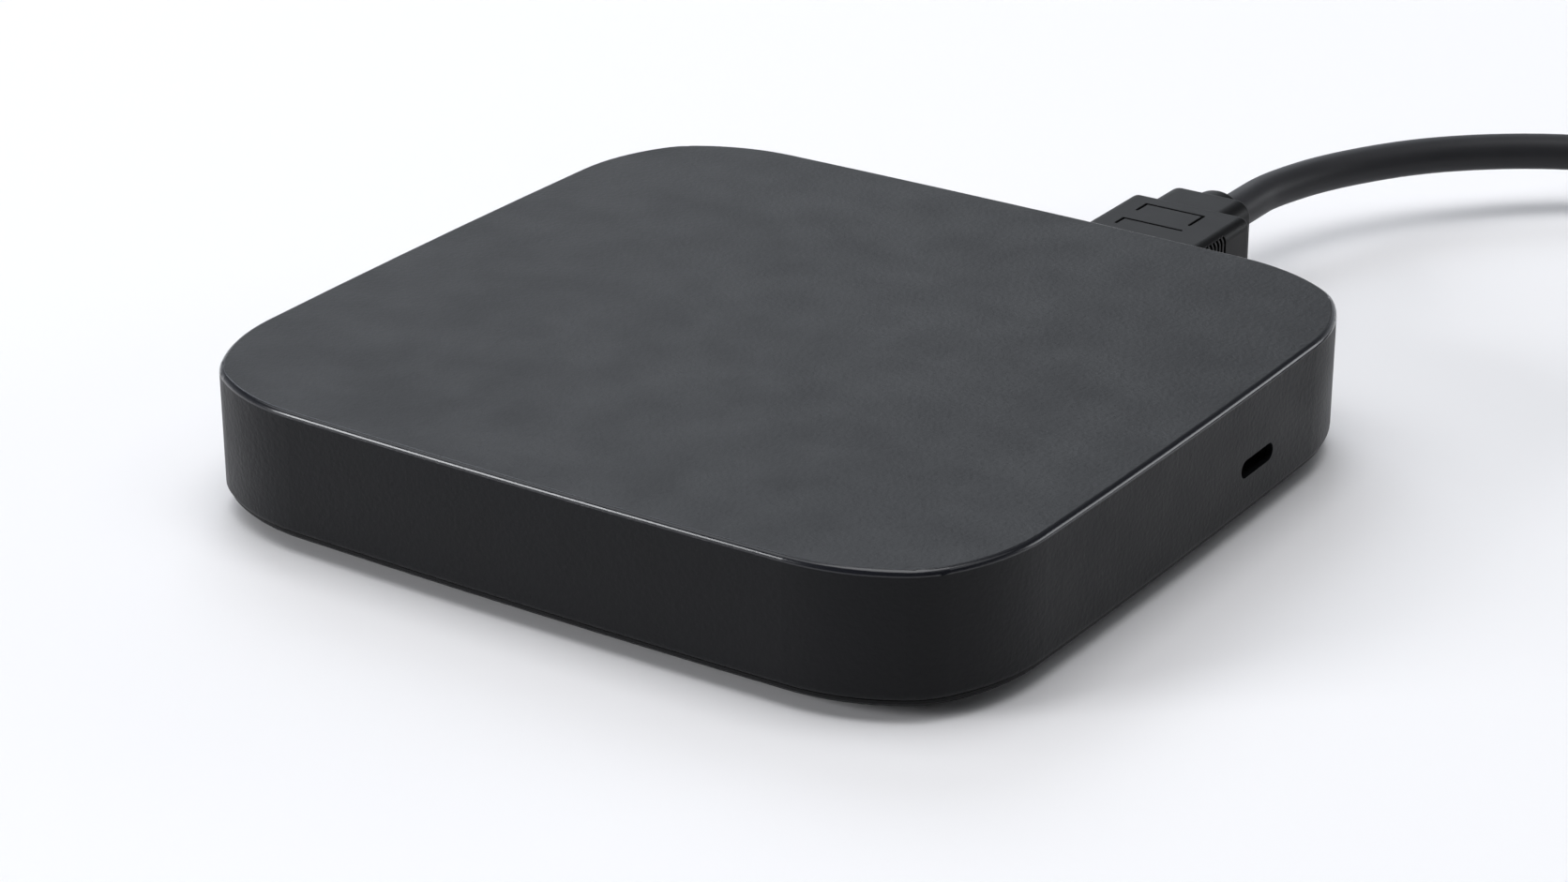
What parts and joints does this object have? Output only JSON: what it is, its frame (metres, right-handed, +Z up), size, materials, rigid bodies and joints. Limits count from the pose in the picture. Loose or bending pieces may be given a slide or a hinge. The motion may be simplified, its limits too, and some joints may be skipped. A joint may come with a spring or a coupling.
{
  "type": "streaming box",
  "caption": "Low rounded-square streaming box with video socket, network jack, small oval side port and reset button, with its video lead plugged in and the rest of the lead coiled behind",
  "frame": {"origin": "on the surface the box stands on, under the middle of the box", "axes": "+X to the side with the small port, +Y to the rear with the video socket, +Z up"},
  "size_m": [0.2202, 0.2291, 0.0201],
  "materials": {
    "housing_plastic": "fine moulded grain",
    "base_plastic": "moulded matt",
    "foot_rubber": "matt",
    "screw_steel": "zinc plated",
    "board_laminate": "solder mask",
    "chip_plastic": "moulded",
    "pad_rubber": "soft silicone",
    "tinned_sheet": "tinned sheet",
    "sink_aluminium": "milled",
    "pin_plastic": "nylon",
    "capacitor_ceramic": "fired",
    "insulator_plastic": "glass filled",
    "contact_brass": "gold flashed",
    "plug_steel": "nickel plated",
    "lead_plastic": "satin soft plastic",
    "tie_fabric": "woven hook and loop"
  },
  "bodies": {
    "box": {"top_housing": "housing_plastic", "base_cover": "base_plastic", "rubber_feet": "foot_rubber", "case_screws": "screw_steel", "main_board": "board_laminate", "board_screws": "screw_steel", "processor": "chip_plastic", "memory_chips": "chip_plastic", "chip_pad": "pad_rubber", "shield_frame": "tinned_sheet", "shield_lid": "tinned_sheet", "sink_pad": "pad_rubber", "heat_sink": "sink_aluminium", "sink_pins": "pin_plastic", "flash_chip": "chip_plastic", "power_chip": "chip_plastic", "power_inductors": "chip_plastic", "power_capacitors": "sink_aluminium", "small_capacitors": "capacitor_ceramic", "crystal": "tinned_sheet", "wifi_module": "tinned_sheet", "antennas": "tinned_sheet", "ir_receiver": "chip_plastic", "network_transformer": "chip_plastic", "video_socket_shell": "tinned_sheet", "video_socket_body": "insulator_plastic", "video_socket_contacts": "contact_brass", "usb_c_shell": "tinned_sheet", "usb_c_body": "insulator_plastic", "usb_c_contacts": "contact_brass", "network_jack_shield": "tinned_sheet", "network_jack_housing": "insulator_plastic", "network_jack_contacts": "contact_brass", "reset_switch": "insulator_plastic"},
    "video_lead": {"plug_shell": "plug_steel", "plug_insert": "insulator_plastic", "plug_contacts": "contact_brass", "plug_grip": "lead_plastic", "strain_relief": "lead_plastic", "cord_run": "lead_plastic", "cord_coil": "lead_plastic", "coil_tie": "tie_fabric", "cord_tail": "lead_plastic", "far_strain_relief": "lead_plastic", "far_plug_grip": "lead_plastic", "far_plug_shell": "plug_steel", "far_plug_insert": "insulator_plastic", "far_plug_contacts": "contact_brass"},
    "reset_button": {"reset_button": "base_plastic", "switch_plunger": "insulator_plastic"}
  },
  "joints": [
    {"name": "video_plug_pull", "type": "slide", "parent": "box", "child": "video_lead", "axis": [0, 1, 0], "range_m": [0, 0.018]},
    {"name": "reset_press", "type": "slide", "parent": "box", "child": "reset_button", "axis": [0, -1, 0], "range_m": [0, 0.0003], "stiffness_N_per_m": 3000}
  ]
}
